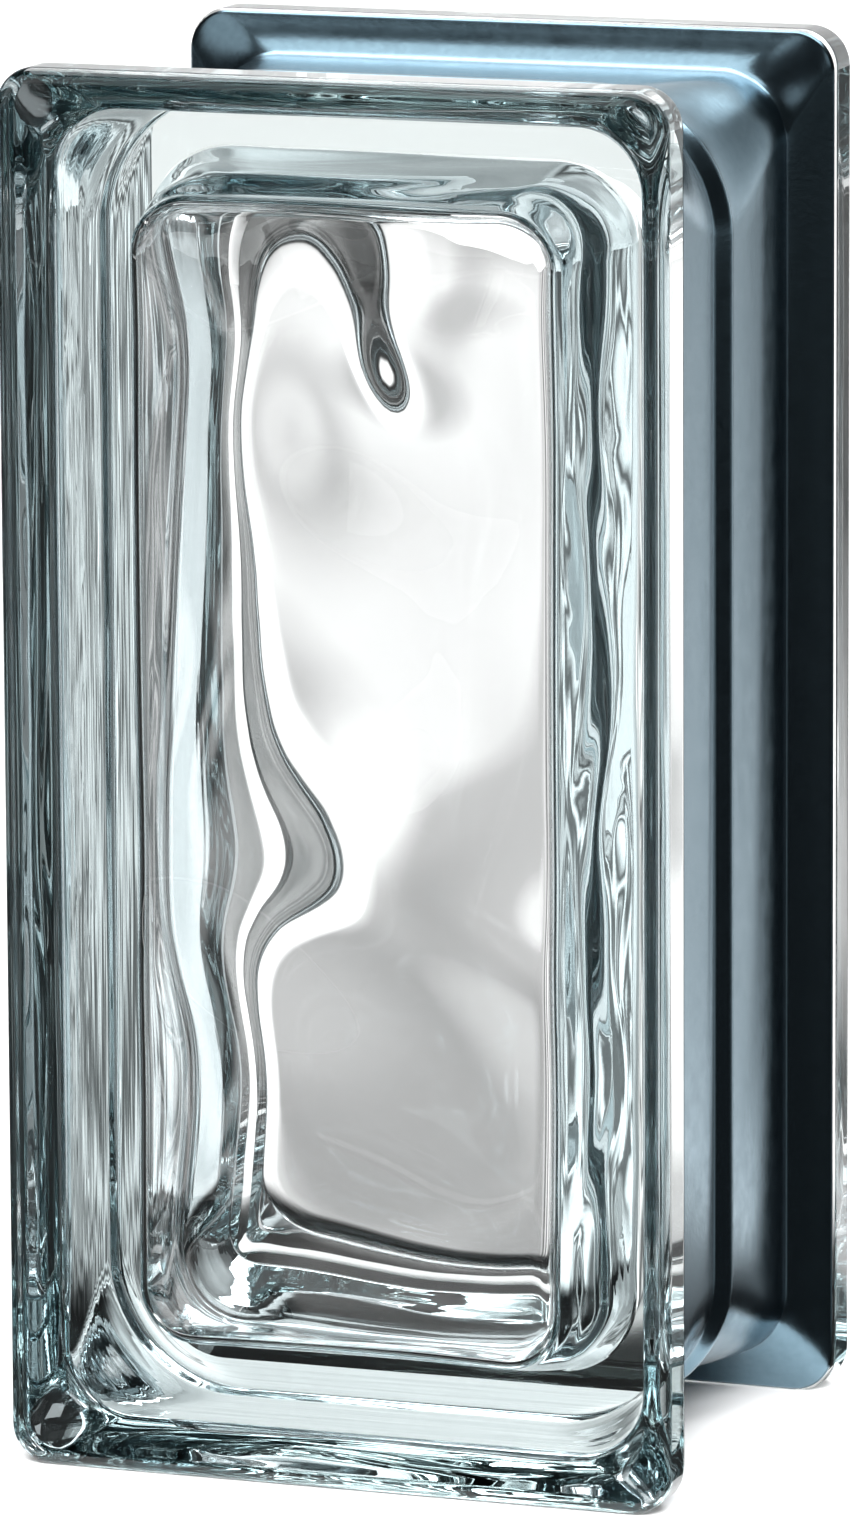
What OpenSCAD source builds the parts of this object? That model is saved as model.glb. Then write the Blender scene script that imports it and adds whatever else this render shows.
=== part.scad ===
// Half-width hollow glass block, standing on its short end.
// Two pressed glass halves are fused at mid depth into one sealed body with wavy inner faces.
// A thin metallic film coats the mortar channel that runs round the edge.
// X runs across the face, Y from the front face to the back one, Z up from the base.

/* [Block] */
// Width across the face
block_w = 94; // [80:1:190]
// Height of the face
block_h = 190; // [140:1:300]
// Depth between the two faces
block_d = 80; // [72:1:100]

/* [Flanges] */
// Thickness of the flange round each face
flange_t = 8; // [6:0.5:10]
// Corner radius of the face
corner_r = 5.5; // [3:0.5:8]
// Rounding of the edge between face and flange
edge_r = 2; // [0.5:0.25:2.5]

/* [Mortar channel] */
// Depth of the channel floor below the flanges
channel_depth = 6; // [4:0.5:8]
// Run of the shoulder from a flange down to the channel floor
shoulder_run = 4; // [2:0.5:7]
// Sag of the shoulder below the straight line from flange to floor
shoulder_sag = 0.7; // [0:0.1:1]
// Corner radius of the channel floor beside the flanges
foot_r = 9; // [3:0.5:12]
// Corner radius of the channel floor at the seam
seam_r = 18; // [12:0.5:22]
// Width of the fused seam bead
bead_w = 7; // [4:0.5:12]
// Height of the seam bead above the channel floor
bead_h = 1.6; // [0.8:0.1:3]

/* [Cavity] */
// Mean thickness of a face plate
face_t = 9; // [8:0.5:12]
// Wall between the channel floor and the cavity beside the face plates
wall_face = 11; // [8:0.5:14]
// Wall between the channel floor and the cavity at the seam
wall_seam = 6.5; // [4:0.5:8]
// Corner radius of the cavity beside the face plates
cavity_r = 8; // [5:0.5:10]
// Fillet between a face plate and the cavity walls
fillet_r = 2.5; // [1.5:0.25:4]

/* [Waves] */
// Height of the roll on the inner face of a plate, from mean to crest
roll_h = 1.5; // [0.5:0.1:1.8]
// Length of the roll across the plate
roll_len = 60; // [45:1:90]
// How far the crest of the roll wanders to either side
meander = 10; // [0:0.5:12]
// Length of one wander up the plate
meander_len = 95; // [70:1:160]
// Height above the middle of the plate where the rising crest crosses the middle line
meander_z = 22; // [-40:1:40]
// Skew of the wander in degrees, which makes its rise longer than its return
meander_skew = 35; // [0:1:40]
// Height of the swell near the top of the plate
swell_h = 2.6; // [0:0.1:3]
// Radius of the swell
swell_r = 12; // [8:0.5:16]
// Place of the swell across the plate
swell_x = 0; // [-12:0.5:12]
// Distance of the swell below the top of the plate
swell_drop = 25.5; // [8:0.5:40]
// Depth of the dimple above the swell
dimple_h = 3.7; // [0:0.1:4]
// Radius of the dimple
dimple_r = 14; // [10:0.5:18]
// Place of the dimple across the plate
dimple_x = 12.5; // [-14:0.5:14]
// Distance of the dimple below the top of the plate
dimple_drop = 14; // [8:0.5:40]

/* [Coating] */
// Thickness of the coating in the channel
coat_t = 0.3; // [0.2:0.05:0.5]
// Height of bare glass between the coating's edge and the flange's land
coat_edge = 0.3; // [0.2:0.1:1]

/* [Hidden] */
$fn = 64;

// Distances from mid depth to the flanges, to the channel floor and to the mean inner face
rim_y = block_d / 2 - flange_t;
foot_y = rim_y - shoulder_run;
face_y = block_d / 2 - face_t;
// Inset of the shoulder where it leaves a flange, so that the coating seats on the flange's back
rim_inset = coat_edge + coat_t;

// Steps of the lofted surfaces
corner_steps = 8;
shoulder_steps = 4;
floor_steps = 6;
bead_steps = 8;
fillet_steps = 4;
wall_steps = 3;
// How far the lofted core reaches into each flange
core_sink = 2;

// Cells of the grid that carries the waves
grid_x = 20;
grid_z = 50;

function ease(t) = t * t * (3 - 2 * t);
function clamp01(t) = max(0, min(1, t));

// Outline of a rounded rectangle in X and Z, anticlockwise as seen from the front
function outline(w, h, r) = [
    for (c = [[1, -1, -90], [1, 1, 0], [-1, 1, 90], [-1, -1, 180]])
        for (i = [0:corner_steps])
            let (a = c[2] + 90 * i / corner_steps)
                [c[0] * (w / 2 - r) + r * cos(a), c[1] * (h / 2 - r) + r * sin(a)]
];

// Places an outline at depth y, centred on the block's height
function at_depth(points, y) = [for (p = points) [p[0], y, p[1] + block_h / 2]];

// The mortar channel: height of the seam bead, inset from the flanges and corner radius at depth y
function bead(y) = abs(y) < bead_w / 2 ? bead_h * (1 + cos(360 * y / bead_w)) / 2 : 0;
function floor_r(y) =
    seam_r + (foot_r - seam_r) * ease(clamp01((abs(y) - bead_w / 2) / (foot_y - bead_w / 2)));
function shoulder(y) = clamp01((rim_y - abs(y)) / shoulder_run);
function channel_inset(y) =
    let (t = shoulder(y))
        rim_inset + (channel_depth - rim_inset) * t + shoulder_sag * sin(180 * t) - bead(y);
function channel_r(y) =
    let (t = shoulder(y))
        t < 1 ? (corner_r - rim_inset) * (1 - t) + foot_r * t : floor_r(y) + bead(y);

// Depths at which the channel's outline is taken, from the front flange to the back one
shoulder_ys = [for (i = [0:shoulder_steps - 1]) rim_y - shoulder_run * i / shoulder_steps];
floor_ys = [for (i = [0:floor_steps]) foot_y + (bead_w / 2 - foot_y) * i / floor_steps];
half_ys = concat(shoulder_ys, floor_ys);
channel_ys = concat(
    [for (y = half_ys) -y],
    [for (i = [1:bead_steps - 1]) bead_w * (i / bead_steps - 1 / 2)],
    [for (i = [len(half_ys) - 1:-1:0]) half_ys[i]]
);

// Ring round the channel at depth y, raised above the glass by grow
function channel_ring(y, grow) =
    let (inset = channel_inset(y) - grow)
        at_depth(outline(block_w - 2 * inset, block_h - 2 * inset, channel_r(y) + grow), y);

// Triangles between ring number k and ring number m, each of n points
function strip(k, m, n) = [
    for (i = [0:n - 1])
        let (j = (i + 1) % n)
            each [[k * n + i, k * n + j, m * n + j], [k * n + i, m * n + j, m * n + i]]
];

// Solid lofted through rings from front to back, with flat ends
module loft(rings) {
    n = len(rings[0]);
    last = len(rings) - 1;
    polyhedron(
        points = [for (ring = rings) each ring],
        faces = concat(
            [[for (i = [n - 1:-1:0]) i]],
            [for (k = [0:last - 1]) each strip(k, k + 1, n)],
            [[for (i = [0:n - 1]) last * n + i]]
        )
    );
}

// Closed band lofted through a loop of rings
module loft_band(rings) {
    n = len(rings[0]);
    count = len(rings);
    polyhedron(
        points = [for (ring = rings) each ring],
        faces = [for (k = [0:count - 1]) each strip(k, (k + 1) % count, n)]
    );
}

// Section through a flange plate of the given span, with its two face edges rounded
module plate_section(span) {
    translate([-span / 2 + edge_r, 0])
        square([span - 2 * edge_r, flange_t]);
    translate([-span / 2, edge_r])
        square([span, flange_t - edge_r]);
    for (side = [-1, 1])
        translate([side * (span / 2 - edge_r), edge_r])
            circle(edge_r);
}

// Front face plate with its flange, the face at -Y
module face_plate() {
    translate([0, -block_d / 2, block_h / 2])
        rotate([-90, 0, 0]) {
            rotate([90, 0, 0])
                linear_extrude(block_h - 2 * corner_r, center = true)
                    plate_section(block_w);
            rotate([90, 0, 90])
                linear_extrude(block_w - 2 * corner_r, center = true)
                    plate_section(block_h);
            for (corner = [[1, 1, 0], [-1, 1, 90], [-1, -1, 180], [1, -1, 270]])
                translate([
                    corner[0] * (block_w / 2 - corner_r),
                    corner[1] * (block_h / 2 - corner_r),
                    0
                ])
                    rotate([0, 0, corner[2]])
                        rotate_extrude(angle = 90)
                            intersection() {
                                plate_section(2 * corner_r);
                                square([corner_r, flange_t]);
                            }
        }
}

// Core between the flanges: shoulders, channel floor and seam bead
module core() {
    shift = rim_y + core_sink;
    ends = [for (p = channel_ring(rim_y, 0)) [p[0], shift, p[2]]];
    loft(concat(
        [[for (p = ends) [p[0], -p[1], p[2]]]],
        [for (y = channel_ys) channel_ring(y, 0)],
        [ends]
    ));
}

// Carries a point of the unit square onto a rounded rectangle
function round_map(u, v, w, h, r) =
    let (
        x = u * w / 2,
        z = v * h / 2,
        ax = abs(x) - (w / 2 - r),
        az = abs(z) - (h / 2 - r),
        k = ax > 0 && az > 0 ? max(ax, az) / norm([ax, az]) : 1
    )
        k == 1 ? [x, z] : [sign(x) * (w / 2 - r + ax * k), sign(z) * (h / 2 - r + az * k)];

// Outline of the cavity where a face plate's flat ends and its fillet begins
cavity_inset = channel_depth + wall_face;
plate_w = block_w - 2 * (cavity_inset + fillet_r);
plate_h = block_h - 2 * (cavity_inset + fillet_r);
plate_r = cavity_r - fillet_r;

// Crest of the roll at height z from the middle of the plate
function crest(z) =
    let (turn = 360 * (z - meander_z) / meander_len)
        meander * sin(turn - meander_skew * sin(turn));
function roll(x, z) = roll_h * cos(360 * (x - crest(z)) / roll_len);
function mound(x, z, r) = exp(-(x * x + z * z) / (r * r));
// Heights of the swell and the dimple above the middle of the plate
swell_z = plate_h / 2 - swell_drop;
dimple_z = plate_h / 2 - dimple_drop;
// Gain in thickness at x and z from the middle of the plate
function wave(x, z) =
    roll(x, z)
    + swell_h * mound(x - swell_x, z - swell_z, swell_r)
    - dimple_h * mound(x - dimple_x, z - dimple_z, dimple_r);

// Border of the wave grid as unit square points, anticlockwise as seen from the front
border = concat(
    [for (i = [0:grid_x - 1]) [i, 0]],
    [for (j = [0:grid_z - 1]) [grid_x, j]],
    [for (i = [grid_x:-1:1]) [i, grid_z]],
    [for (j = [grid_z:-1:1]) [0, j]]
);
function unit(cell) = [2 * cell[0] / grid_x - 1, 2 * cell[1] / grid_z - 1];
function grid_index(cell) = cell[1] * (grid_x + 1) + cell[0];

// Wavy inner face: side is -1 for the front plate and 1 for the back one
function wavy_face(side) = [
    for (j = [0:grid_z])
        for (i = [0:grid_x])
            let (
                q = unit([i, j]),
                p = round_map(q[0], q[1], plate_w, plate_h, plate_r)
            )
                [p[0], side * (face_y - wave(-side * p[0], p[1])), p[1] + block_h / 2]
];

// Rings of the cavity from a plate's border to the seam: distance from mid depth, inset, corner radius
// and share of the plate's waves
fillet_rings = [
    for (i = [1:fillet_steps])
        let (a = 90 * i / fillet_steps, back = fillet_r * (1 - sin(a)))
            [face_y - fillet_r * (1 - cos(a)), cavity_inset + back, cavity_r - back, 1]
];
wall_rings = [
    for (i = [1:wall_steps])
        let (t = i / wall_steps)
            [
                (face_y - fillet_r) * (1 - t),
                cavity_inset + (wall_seam - wall_face) * t,
                cavity_r + (seam_r - wall_seam - cavity_r) * t,
                1 - t
            ]
];
half_rings = concat(fillet_rings, wall_rings);
function cavity_ring(ring, side) = [
    for (cell = border)
        let (
            q = unit(cell),
            rim = round_map(q[0], q[1], plate_w, plate_h, plate_r),
            p = round_map(q[0], q[1], block_w - 2 * ring[1], block_h - 2 * ring[1], ring[2])
        )
            [p[0], side * (ring[0] - ring[3] * wave(-side * rim[0], rim[1])), p[1] + block_h / 2]
];
cavity_rings = concat(
    [for (ring = half_rings) cavity_ring(ring, -1)],
    [for (i = [len(half_rings) - 2:-1:0]) cavity_ring(half_rings[i], 1)]
);

// Sealed hollow of the block, with its two wavy faces
module cavity() {
    n = len(border);
    face_points = (grid_x + 1) * (grid_z + 1);
    ring_count = len(cavity_rings);
    back_start = face_points + ring_count * n;
    front_border = [for (cell = border) grid_index(cell)];
    back_border = [for (cell = border) back_start + grid_index(cell)];
    loops = concat(
        [front_border],
        [for (k = [0:ring_count - 1]) [for (i = [0:n - 1]) face_points + k * n + i]],
        [back_border]
    );
    cells = [
        for (j = [0:grid_z - 1])
            for (i = [0:grid_x - 1])
                [for (c = [[i, j], [i + 1, j], [i + 1, j + 1], [i, j + 1]]) grid_index(c)]
    ];
    polyhedron(
        points = concat(
            wavy_face(-1),
            [for (ring = cavity_rings) each ring],
            wavy_face(1)
        ),
        faces = concat(
            [for (c = cells) each [[c[0], c[2], c[1]], [c[0], c[3], c[2]]]],
            [
                for (k = [0:len(loops) - 2])
                    for (i = [0:n - 1])
                        let (a = loops[k], b = loops[k + 1], j = (i + 1) % n)
                            each [[a[i], a[j], b[j]], [a[i], b[j], b[i]]]
            ],
            [
                for (c = cells)
                    let (d = [for (i = c) i + back_start])
                        each [[d[0], d[1], d[2]], [d[0], d[2], d[3]]]
            ]
        )
    );
}

module glass_body() {
    color([0.78, 0.9, 0.87, 0.6])
        difference() {
            union() {
                face_plate();
                mirror([0, 1, 0])
                    face_plate();
                core();
            }
            cavity();
        }
}

module edge_coating() {
    color([0.4, 0.52, 0.6])
        loft_band(concat(
            [for (y = channel_ys) channel_ring(y, coat_t)],
            [for (i = [len(channel_ys) - 1:-1:0]) channel_ring(channel_ys[i], 0)]
        ));
}

glass_body();
edge_coating();
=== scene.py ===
import math

import bpy
import numpy as np
from mathutils import Matrix, Vector


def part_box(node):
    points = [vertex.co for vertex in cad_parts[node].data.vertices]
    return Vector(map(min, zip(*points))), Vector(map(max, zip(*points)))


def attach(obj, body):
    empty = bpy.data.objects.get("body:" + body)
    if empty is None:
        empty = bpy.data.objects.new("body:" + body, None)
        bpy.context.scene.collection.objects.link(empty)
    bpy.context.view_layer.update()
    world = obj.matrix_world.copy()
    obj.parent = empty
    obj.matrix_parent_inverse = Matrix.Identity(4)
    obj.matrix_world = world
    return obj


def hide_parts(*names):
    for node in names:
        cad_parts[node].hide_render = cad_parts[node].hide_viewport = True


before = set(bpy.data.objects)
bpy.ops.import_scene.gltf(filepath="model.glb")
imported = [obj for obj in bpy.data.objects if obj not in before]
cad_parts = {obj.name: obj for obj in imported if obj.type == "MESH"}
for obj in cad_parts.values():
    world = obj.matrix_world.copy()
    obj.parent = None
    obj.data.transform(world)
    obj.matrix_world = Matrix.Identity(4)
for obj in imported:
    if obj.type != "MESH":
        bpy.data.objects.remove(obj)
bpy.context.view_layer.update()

scene = bpy.context.scene
MM = 0.001

# Sizes of the block in mm, as in the part's source. The outer ones come from the frame.
glass_low, glass_high = (np.array(c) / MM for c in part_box("glass_body"))
BLOCK_W, BLOCK_D, BLOCK_H = (float(s) for s in glass_high - glass_low)
FLANGE_T = 8.0
CORNER_R = 5.5
EDGE_R = 2.0
CHANNEL_DEPTH = 6.0
SHOULDER_RUN = 4.0
SHOULDER_SAG = 0.7
FOOT_R = 9.0
SEAM_R = 18.0
BEAD_W = 7.0
BEAD_H = 1.6
FACE_T = 9.0
WALL_FACE = 11.0
WALL_SEAM = 6.5
CAVITY_R = 8.0
FILLET_R = 2.5
ROLL_H = 1.5
ROLL_LEN = 60.0
MEANDER = 10.0
MEANDER_LEN = 95.0
MEANDER_Z = 22.0
MEANDER_SKEW = math.radians(35)
SWELL_H = 2.6
SWELL_R = 12.0
SWELL_X = 0.0
SWELL_DROP = 25.5
DIMPLE_H = 3.7
DIMPLE_R = 14.0
DIMPLE_X = 12.5
DIMPLE_DROP = 14.0
COAT_T = 0.3
COAT_EDGE = 0.3

# Fine relief that the source leaves out, in mm. The shoulder's two limits are shares of its run.
COAT_LIFT = 0.02
RIPPLE_H = 0.1
RIPPLE_LONG = 23.0
RIPPLE_SHORT = 13.0
RIPPLE_FADE = 6.0
LAND_ROUND = 1.2
FOOT_ROUND = 0.8
SHOULDER_START = 0.08
SHOULDER_END = 0.85

RIM_Y = BLOCK_D / 2 - FLANGE_T
FOOT_Y = RIM_Y - SHOULDER_RUN
FACE_Y = BLOCK_D / 2 - FACE_T
RIM_INSET = COAT_EDGE + COAT_T

# Steps of the smooth meshes
CORNER_STEPS = 14
LONG_STEPS = 40
SHORT_STEPS = 20
EDGE_STEPS = 10
LAND_STEPS = 6
SHOULDER_STEPS = 8
FOOT_STEPS = 5
FLOOR_STEPS = 15
BEAD_STEPS = 12
FILLET_STEPS = 12
WALL_STEPS = 12
CELL = 1.0
# Distance of the extra rows that keep the shading of a flat even up to its rounded edge
SUPPORT = 0.2
# Row of the channel's profile where the coating starts
COAT_ROW = 3


def ease(t):
    t = np.clip(t, 0.0, 1.0)
    return t * t * (3 - 2 * t)


def outline(w, h, r):
    """Points of a rounded rectangle in X and Z, anticlockwise as seen from the front."""
    # Signs of X and Z, first angle of the arc, and steps of the straight side after it
    corners = [
        (1, -1, -90, LONG_STEPS),
        (1, 1, 0, SHORT_STEPS),
        (-1, 1, 90, LONG_STEPS),
        (-1, -1, 180, SHORT_STEPS),
    ]
    arcs = []
    for sx, sz, start, _ in corners:
        angles = np.radians(start + np.linspace(0, 90, CORNER_STEPS + 1))
        x = sx * (w / 2 - r) + r * np.cos(angles)
        z = sz * (h / 2 - r) + r * np.sin(angles)
        arcs.append(np.stack([x, z], 1))
    points = []
    for k, (_, _, _, steps) in enumerate(corners):
        points.append(arcs[k])
        first, last = arcs[k][-1], arcs[(k + 1) % 4][0]
        t = np.arange(1, steps)[:, None] / steps
        points.append(first + (last - first) * t)
    return np.concatenate(points)


def at_depth(points, y):
    return np.column_stack([points[:, 0], np.full(len(points), y), points[:, 1] + BLOCK_H / 2])


def ring(y, inset, r):
    return at_depth(outline(BLOCK_W - 2 * inset, BLOCK_H - 2 * inset, r), y)


def curve(p0, p1, p2, steps):
    """Points of a quadratic curve after its first one."""
    t = np.linspace(0, 1, steps + 1)[1:, None]
    p0, p1, p2 = (np.array(p, float) for p in (p0, p1, p2))
    return list((1 - t) ** 2 * p0 + 2 * t * (1 - t) * p1 + t * t * p2)


def bead(y):
    return np.where(np.abs(y) < BEAD_W / 2, BEAD_H * (1 + np.cos(2 * np.pi * y / BEAD_W)) / 2, 0.0)


def floor_r(y):
    return SEAM_R + (FOOT_R - SEAM_R) * ease((abs(y) - BEAD_W / 2) / (FOOT_Y - BEAD_W / 2))


def shoulder(t):
    """Depth, inset and corner radius on the shoulder, at t from 0 at the flange to 1 at the floor."""
    inset = RIM_INSET + (CHANNEL_DEPTH - RIM_INSET) * t + SHOULDER_SAG * math.sin(math.pi * t)
    return RIM_Y - SHOULDER_RUN * t, inset, (CORNER_R - RIM_INSET) * (1 - t) + FOOT_R * t


def flange_profile():
    """Depth, inset and corner radius from the flat face to the land's rear edge."""
    rows = [(BLOCK_D / 2, EDGE_R + SUPPORT)]
    for a in np.radians(np.linspace(0, 90, EDGE_STEPS + 1)):
        rows.append((BLOCK_D / 2 - EDGE_R * (1 - math.cos(a)), EDGE_R * (1 - math.sin(a))))
    rows.append((BLOCK_D / 2 - EDGE_R - SUPPORT, 0.0))
    rows.append((RIM_Y + LAND_ROUND + SUPPORT, 0.0))
    rows.append((RIM_Y + LAND_ROUND, 0.0))
    return [(y, inset, CORNER_R - inset) for y, inset in rows]


def channel_profile(grow=0.0):
    """The same from the land's rear edge to the seam, raised above the glass by grow."""
    fall = SHOULDER_RUN / (CHANNEL_DEPTH - RIM_INSET + math.pi * SHOULDER_SAG)
    land = (RIM_Y + LAND_ROUND, 0.0, CORNER_R)
    rim = (RIM_Y + RIM_INSET * fall, 0.0, CORNER_R)
    rows = curve(land, rim, shoulder(SHOULDER_START), LAND_STEPS)
    rows += [shoulder(t) for t in np.linspace(SHOULDER_START, SHOULDER_END, SHOULDER_STEPS + 1)[1:]]
    foot = FOOT_Y - FOOT_ROUND
    floor = (foot, CHANNEL_DEPTH, float(floor_r(foot)))
    rows += curve(rows[-1], (FOOT_Y, CHANNEL_DEPTH, FOOT_R), floor, FOOT_STEPS)
    for y in np.linspace(foot, BEAD_W / 2, FLOOR_STEPS + 1)[1:]:
        rows.append((y, CHANNEL_DEPTH, float(floor_r(y))))
    for y in np.linspace(BEAD_W / 2, 0, BEAD_STEPS + 1)[1:]:
        rise = float(bead(y))
        rows.append((y, CHANNEL_DEPTH - rise, SEAM_R + rise))
    return [(y, inset - grow, r + grow) for y, inset, r in rows]


def both_halves(rows):
    """Rows that end at the seam, front half first."""
    front = [(-y, inset, r) for y, inset, r in rows]
    return front + [(y, inset, r) for y, inset, r in reversed(rows[:-1])]


def strips(count, n, closed=False):
    """Quads between following rings of n points."""
    quads = []
    for k in range(count if closed else count - 1):
        m = (k + 1) % count
        quads += [(k * n + i, m * n + i, m * n + (i + 1) % n, k * n + (i + 1) % n) for i in range(n)]
    return quads


def make_object(name, points, faces):
    mesh = bpy.data.meshes.new(name)
    mesh.from_pydata([tuple(p) for p in np.asarray(points) * MM], [], faces)
    mesh.validate()
    mesh.polygons.foreach_set("use_smooth", [True] * len(mesh.polygons))
    obj = bpy.data.objects.new(name, mesh)
    scene.collection.objects.link(obj)
    return obj


# Waves of the inner faces
PLATE_INSET = CHANNEL_DEPTH + WALL_FACE + FILLET_R
PLATE_W = BLOCK_W - 2 * PLATE_INSET
PLATE_H = BLOCK_H - 2 * PLATE_INSET
PLATE_R = CAVITY_R - FILLET_R


def crest(z):
    """Place across the plate of the roll's crest, which wanders from side to side."""
    turn = 2 * np.pi * (z - MEANDER_Z) / MEANDER_LEN
    return MEANDER * np.sin(turn - MEANDER_SKEW * np.sin(turn))


def mound(x, z, r):
    return np.exp(-(x * x + z * z) / (r * r))


def wave(x, z):
    """Gain in thickness of a face plate at x and z from its middle."""
    swell_z, dimple_z = PLATE_H / 2 - SWELL_DROP, PLATE_H / 2 - DIMPLE_DROP
    roll = ROLL_H * np.cos(2 * np.pi * (x - crest(z)) / ROLL_LEN)
    swell = SWELL_H * mound(x - SWELL_X, z - swell_z, SWELL_R)
    dimple = DIMPLE_H * mound(x - DIMPLE_X, z - dimple_z, DIMPLE_R)
    return roll + swell - dimple


def round_map(uv, w, h, r):
    """Carries points of the unit square onto a rounded rectangle."""
    p = uv * np.array([w / 2, h / 2])
    core = np.array([w / 2 - r, h / 2 - r])
    over = np.abs(p) - core
    inside = (over > 0).all(axis=1)
    k = np.where(inside, over.max(axis=1) / np.maximum(np.linalg.norm(over, axis=1), 1e-9), 1.0)
    return np.where(inside[:, None], np.sign(p) * (core + over * k[:, None]), p)


def wall_ripple(turn, y):
    """Slight unevenness of the pressed walls, by the angle round the cavity and the depth from the seam."""
    fade = ease((FACE_Y - FILLET_R - abs(y)) / RIPPLE_FADE)
    long_shift = 1.6 * np.sin(5 * turn) + 0.7 * np.sin(11 * turn)
    short_shift = 2 * np.sin(7 * turn + 1) + 0.5 * np.sin(17 * turn)
    long_ripple = np.sin(2 * np.pi * y / RIPPLE_LONG + long_shift)
    short_ripple = np.sin(2 * np.pi * y / RIPPLE_SHORT + short_shift)
    return RIPPLE_H * fade * (long_ripple + 0.5 * short_ripple)


def wall_normal(uv):
    """Outward direction of the cavity wall at points of the unit square's border."""
    side = np.where(np.abs(uv) > 0.999, np.sign(uv), 0.0)
    return side / np.linalg.norm(side, axis=1)[:, None]


def cavity_mesh():
    """Points and quads of the sealed hollow, turned so that the quads face out of the glass."""
    nx, nz = round(PLATE_W / CELL), round(PLATE_H / CELL)
    grid = np.array([(2 * i / nx - 1, 2 * j / nz - 1) for j in range(nz + 1) for i in range(nx + 1)])
    border_cells = (
        [(i, 0) for i in range(nx)]
        + [(nx, j) for j in range(nz)]
        + [(i, nz) for i in range(nx, 0, -1)]
        + [(0, j) for j in range(nz, 0, -1)]
    )
    border = np.array([j * (nx + 1) + i for i, j in border_cells])
    flat = round_map(grid, PLATE_W, PLATE_H, PLATE_R)
    blocks, loops = [], []

    def add(points):
        start = sum(len(b) for b in blocks)
        blocks.append(points)
        return start

    def wavy(side):
        y = side * (FACE_Y - wave(-side * flat[:, 0], flat[:, 1]))
        return np.column_stack([flat[:, 0], y, flat[:, 1] + BLOCK_H / 2])

    # Depth, inset, corner radius and share of the plate's wave, from a plate's border to the seam
    rows = []
    for a in np.radians(np.linspace(0, 90, FILLET_STEPS + 1)[1:]):
        back = FILLET_R * (1 - math.sin(a))
        y = FACE_Y - FILLET_R * (1 - math.cos(a))
        rows.append((y, CHANNEL_DEPTH + WALL_FACE + back, CAVITY_R - back, 1.0))
    for t in np.linspace(0, 1, WALL_STEPS + 1)[1:]:
        rows.append((
            (FACE_Y - FILLET_R) * (1 - t),
            CHANNEL_DEPTH + WALL_FACE + (WALL_SEAM - WALL_FACE) * t,
            CAVITY_R + (SEAM_R - WALL_SEAM - CAVITY_R) * t,
            1 - t,
        ))
    rim = flat[border]
    step = np.linalg.norm(rim - np.roll(rim, 1, axis=0), axis=1)
    turn = 2 * np.pi * np.cumsum(step) / step.sum()
    front = add(wavy(-1))
    loops.append(front + border)
    for side, run in ((-1, rows), (1, rows[-2::-1])):
        rise = wave(-side * rim[:, 0], rim[:, 1])
        for y, inset, r, share in run:
            wall = round_map(grid[border], BLOCK_W - 2 * inset, BLOCK_H - 2 * inset, r)
            points = at_depth(wall, 0.0)
            points[:, 1] = side * (y - share * rise)
            points[:, [0, 2]] += wall_ripple(turn, side * y)[:, None] * wall_normal(grid[border])
            loops.append(add(points) + np.arange(len(border)))
    back = add(wavy(1))
    loops.append(back + border)
    cells = [
        (j * (nx + 1) + i, j * (nx + 1) + i + 1, (j + 1) * (nx + 1) + i + 1, (j + 1) * (nx + 1) + i)
        for j in range(nz) for i in range(nx)
    ]
    quads = [tuple(front + i for i in reversed(c)) for c in cells]
    quads += [tuple(back + i for i in c) for c in cells]
    n = len(border)
    for a, b in zip(loops, loops[1:]):
        quads += [(a[i], a[(i + 1) % n], b[(i + 1) % n], b[i]) for i in range(n)]
    return np.concatenate(blocks), [tuple(int(i) for i in q) for q in quads]


def build_glass():
    """The hollow block. Its faces under the coating have the second material."""
    flange = flange_profile()
    rings = [ring(*row) for row in both_halves(flange + channel_profile())]
    n = len(rings[0])
    outer = np.concatenate(rings)
    caps = [tuple(range(n)), tuple((len(rings) - 1) * n + i for i in reversed(range(n)))]
    quads = strips(len(rings), n)
    inner, inner_quads = cavity_mesh()
    shift = len(outer)
    faces = caps + quads + [tuple(shift + i for i in q) for q in inner_quads]
    obj = make_object("glass_block", np.concatenate([outer, inner]), faces)
    first = len(flange) + COAT_ROW - 1
    for k in range(first, len(rings) - 1 - first):
        for i in range(n):
            obj.data.polygons[len(caps) + k * n + i].material_index = 1
    return obj


def build_coat():
    """The film outside the glass, a closed shell from flange to flange."""
    rows = channel_profile(COAT_T)[COAT_ROW:]
    under = channel_profile(COAT_LIFT)[COAT_ROW:]
    loop = both_halves(rows) + both_halves(under)[::-1]
    rings = [ring(*row) for row in loop]
    n = len(rings[0])
    return make_object("channel_coating", np.concatenate(rings), strips(len(rings), n, closed=True))


glass = build_glass()
coat = build_coat()


# Materials
def new_material(name):
    material = bpy.data.materials.new(name)
    material.use_nodes = True
    tree = material.node_tree
    return material, tree, tree.nodes["Principled BSDF"]


def noise(tree, scale, detail, vector):
    node = tree.nodes.new("ShaderNodeTexNoise")
    node.inputs["Scale"].default_value = scale
    node.inputs["Detail"].default_value = detail
    tree.links.new(vector, node.inputs["Vector"])
    return node.outputs["Fac"]


def ramp(tree, value, low, high):
    node = tree.nodes.new("ShaderNodeMapRange")
    node.inputs["To Min"].default_value = low
    node.inputs["To Max"].default_value = high
    tree.links.new(value, node.inputs["Value"])
    return node.outputs["Result"]


def bump(tree, shader, height, distance):
    node = tree.nodes.new("ShaderNodeBump")
    node.inputs["Strength"].default_value = 1.0
    node.inputs["Distance"].default_value = distance
    tree.links.new(height, node.inputs["Height"])
    tree.links.new(node.outputs["Normal"], shader.inputs["Normal"])


def object_coords(tree):
    return tree.nodes.new("ShaderNodeTexCoord").outputs["Object"]


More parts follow.
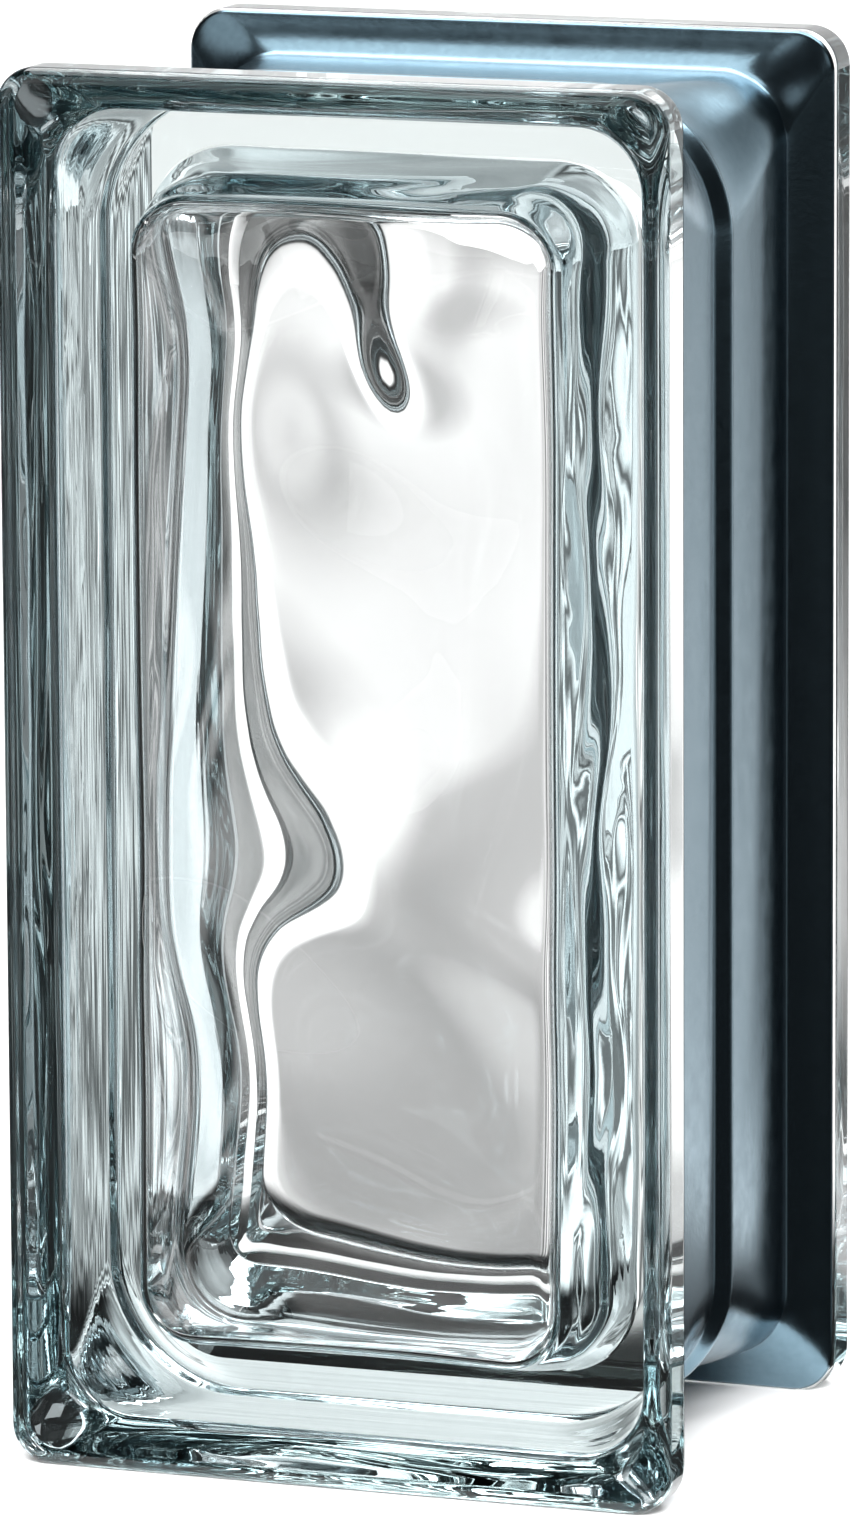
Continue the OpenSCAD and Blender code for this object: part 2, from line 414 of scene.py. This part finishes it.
def glass_material():
    material, tree, shader = new_material("clear_green_glass")
    shader.inputs["Base Color"].default_value = (1, 1, 1, 1)
    shader.inputs["Transmission Weight"].default_value = 1.0
    shader.inputs["Roughness"].default_value = 0.0
    shader.inputs["IOR"].default_value = 1.52
    bump(tree, shader, noise(tree, 60.0, 2.0, object_coords(tree)), 0.03 * MM)
    absorb = tree.nodes.new("ShaderNodeVolumeAbsorption")
    absorb.inputs["Color"].default_value = (0.5, 0.84, 0.82, 1)
    absorb.inputs["Density"].default_value = 2.5
    tree.links.new(absorb.outputs["Volume"], tree.nodes["Material Output"].inputs["Volume"])
    return material


def coat_material(name, colour_low, colour_high, roughness, height, grain, stretch_y):
    """Metallic film with fine mottling and an uneven surface.

    height in metres and grain set the unevenness. A stretch_y above 1 draws it out along the channel.
    """
    material, tree, shader = new_material(name)
    coords = object_coords(tree)
    mix = tree.nodes.new("ShaderNodeMix")
    mix.data_type = "RGBA"
    mix.inputs["A"].default_value = (*colour_low, 1)
    mix.inputs["B"].default_value = (*colour_high, 1)
    tree.links.new(noise(tree, 900.0, 3.0, coords), mix.inputs["Factor"])
    tree.links.new(mix.outputs["Result"], shader.inputs["Base Color"])
    shader.inputs["Metallic"].default_value = 1.0
    gloss = ramp(tree, noise(tree, 350.0, 2.0, coords), roughness * 0.7, roughness * 1.3)
    tree.links.new(gloss, shader.inputs["Roughness"])
    stretch = tree.nodes.new("ShaderNodeMapping")
    stretch.inputs["Scale"].default_value = (1, stretch_y, 1)
    tree.links.new(coords, stretch.inputs["Vector"])
    bump(tree, shader, noise(tree, grain, 2.0, stretch.outputs["Vector"]), height)
    return material


glass.data.materials.append(glass_material())
glass.data.materials.append(coat_material(
    "coating_behind_glass", (0.55, 0.61, 0.63), (0.63, 0.69, 0.71),
    roughness=0.012, height=0.16 * MM, grain=18.0, stretch_y=12.0,
))
coat.data.materials.append(coat_material(
    "blue_grey_coating", (0.14, 0.22, 0.27), (0.19, 0.285, 0.345),
    roughness=0.22, height=0.01 * MM, grain=1500.0, stretch_y=1.0,
))

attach(glass, "root")
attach(coat, "root")
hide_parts("glass_body")
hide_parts("edge_coating")


# Studio, in metres and watts
def sweep():
    """Floor that curves up into a backdrop far behind the block."""
    half, front, back, rise, top, steps = 4.0, -3.0, 3.0, 1.2, 3.5, 12
    profile = [(front, 0.0), (back - rise, 0.0)]
    for a in np.radians(np.linspace(0, 90, steps + 1)[1:]):
        profile.append((back - rise + rise * math.sin(a), rise * (1 - math.cos(a))))
    profile.append((back, top))
    points = [(x, y, z) for y, z in profile for x in (-half, half)]
    faces = [(2 * k, 2 * k + 1, 2 * k + 3, 2 * k + 2) for k in range(len(profile) - 1)]
    obj = make_object("studio_sweep", np.array(points) / MM, faces)
    material, _, shader = new_material("pale_sweep")
    shader.inputs["Base Color"].default_value = (0.86, 0.86, 0.86, 1)
    shader.inputs["Roughness"].default_value = 0.9
    obj.data.materials.append(material)


def softbox(name, position, target, size, power):
    lamp = bpy.data.lights.new(name, "AREA")
    lamp.shape = "RECTANGLE"
    lamp.size, lamp.size_y = size
    lamp.energy = power
    obj = bpy.data.objects.new(name, lamp)
    obj.location = position
    obj.rotation_euler = (Vector(target) - Vector(position)).to_track_quat("-Z", "Y").to_euler()
    scene.collection.objects.link(obj)
    return obj


def band(value, low, high, soft):
    """1 between two limits and 0 beyond, with soft edges of the given width."""
    return float(ease((value - low) / soft + 0.5) * ease((high - value) / soft + 0.5))


def painted_shade_at(azimuth, radius):
    """Painted shade of the floor card, as a grey level at an azimuth in degrees, from +Y towards +X, and a
    radius in metres.

    Each sector has a level, two limits in azimuth and soft edges.
    """
    black, edge = 0.01, 6
    # A darker wedge behind the block, a painted shadow of the block on the floor, whose left limit turns in
    # close to it
    painted_shadow_left = -25 + 4 * ease((0.19 - radius) / 0.05 + 0.5)
    painted_shadow_wedge = band(azimuth, painted_shadow_left, -8, edge) * band(radius, 0, 0.56, 0.18)
    middle = 0.27 * band(azimuth, -66, -9, edge) + 0.55 * band(azimuth, -9, 18, edge)
    behind = 0.2 * band(azimuth, -66, -14, 2 * edge) * (1 - painted_shadow_wedge)
    left = 0.2 * band(azimuth, -66, -28, edge)
    right = 0.8 * band(azimuth, 18, 36, edge)
    far_right = 0.12 * band(azimuth, 36, 60, edge)
    # A faint patch in front at the right, narrower further out
    patch_left = 138 + 10 * ease((radius - 0.25) / 0.1)
    front = 0.1 * band(azimuth, patch_left, 168, edge) * band(radius, 0.12, 0.9, 0.06)
    # Uneven painted dark streaks across the right half, which the borders of the window show
    swing = math.sin(0.75 * azimuth + 1.2 * math.sin(0.3 * azimuth))
    streaks = 1 - 0.45 * band(azimuth, -9, 60, 4) * (1 + swing)
    # Painted shade, black again right at the block
    away = ease((radius - 0.075) / 0.03)
    return black + away * max((middle + behind + left) * streaks, right * streaks, far_right, front)


def painted_shade_card():
    """Graduated card of painted shade on the floor round the block, unseen by the camera.

    It is nearly black at the front and sides and grey in places behind: painted shade, which the glass
    shows as dark edges and soft shades. It reaches from a rectangle just outside the block to a circle.
    """
    spokes, rings = 360, 30
    half_w, half_d, reach, height, tiny = 0.05, 0.043, 2.0, 0.0005, 1e-6
    azimuths = np.linspace(-180, 180, spokes + 1)[:-1]
    sines, cosines = np.sin(np.radians(azimuths)), np.cos(np.radians(azimuths))
    to_side = half_w / np.maximum(np.abs(sines), tiny)
    to_end = half_d / np.maximum(np.abs(cosines), tiny)
    inner = np.minimum(to_side, to_end)
    places = [
        (a, r * (reach / r) ** (k / rings))
        for k in range(rings + 1) for a, r in zip(azimuths, inner)
    ]
    points = [(r * math.sin(math.radians(a)), r * math.cos(math.radians(a)), height) for a, r in places]
    obj = make_object("painted_shade_card", np.array(points) / MM, strips(rings + 1, spokes))
    # Level of painted shade at each point of the card
    painted_shade_level = obj.data.attributes.new("painted_shade_level", "FLOAT", "POINT")
    painted_shade_level.data.foreach_set("value", [painted_shade_at(a, r) for a, r in places])
    # The card's colour is that painted shade
    material, tree, shader = new_material("painted_shade_card_material")
    read = tree.nodes.new("ShaderNodeAttribute")
    read.attribute_name = "painted_shade_level"
    tree.links.new(read.outputs["Fac"], shader.inputs["Base Color"])
    shader.inputs["Roughness"].default_value = 1.0
    shader.inputs["Specular IOR Level"].default_value = 0.0
    obj.data.materials.append(material)
    obj.visible_camera = False
    obj.visible_diffuse = False
    obj.visible_shadow = False


sweep()
painted_shade_card()
key = softbox("key", (0.47, -1.22, 0.92), (0.0, 0.0, 0.05), (0.9, 0.7), 60)
key.visible_glossy = False
key.visible_transmission = False
softbox("overhead", (0.0, 1.0, 1.8), (0.0, 1.0, 0.0), (2.4, 1.6), 68)
softbox("front_left", (-0.85, -1.3, 0.85), (0.0, 0.0, 0.1), (1.5, 1.4), 6)
softbox("front_right", (0.84, -1.12, 0.6), (0.0, 0.0, 0.1), (0.4, 0.4), 0.3)
softbox("top", (0.0, -0.1, 1.3), (0.0, 0.0, 0.1), (1.2, 0.8), 8)
softbox("backdrop_wash", (0.0, 1.6, 2.4), (0.0, 3.0, 0.9), (3.0, 0.6), 22)

world = bpy.data.worlds.new("studio")
world.use_nodes = True
world.node_tree.nodes["Background"].inputs["Color"].default_value = (0.03, 0.03, 0.03, 1)
scene.world = world

# Camera at the photograph's viewing angle, with its focal length in the photograph's pixels
PHOTO_H = 1520
FOCAL_PX = 10400
SENSOR = 36
YAW, PITCH, ROLL = (math.radians(a) for a in (20.02, 10.72, -0.31))
EYE = Vector((0.4743, -1.3036, 0.3551))
forward = Vector((-math.sin(YAW) * math.cos(PITCH), math.cos(YAW) * math.cos(PITCH), -math.sin(PITCH)))
side = Vector((math.cos(YAW), math.sin(YAW), 0))
up = side.cross(forward)
right = math.cos(ROLL) * side + math.sin(ROLL) * up
upright = -math.sin(ROLL) * side + math.cos(ROLL) * up
camera = bpy.data.cameras.new("camera")
camera.sensor_width = SENSOR
camera.lens = SENSOR * FOCAL_PX / PHOTO_H
camera_object = bpy.data.objects.new("camera", camera)
turn = Matrix((right, upright, -forward)).transposed().to_4x4()
camera_object.matrix_world = Matrix.Translation(EYE) @ turn
scene.collection.objects.link(camera_object)
scene.camera = camera_object

scene.view_settings.view_transform = "Standard"
scene.cycles.max_bounces = 24
scene.cycles.transmission_bounces = 24
scene.cycles.glossy_bounces = 16
scene.cycles.diffuse_bounces = 4
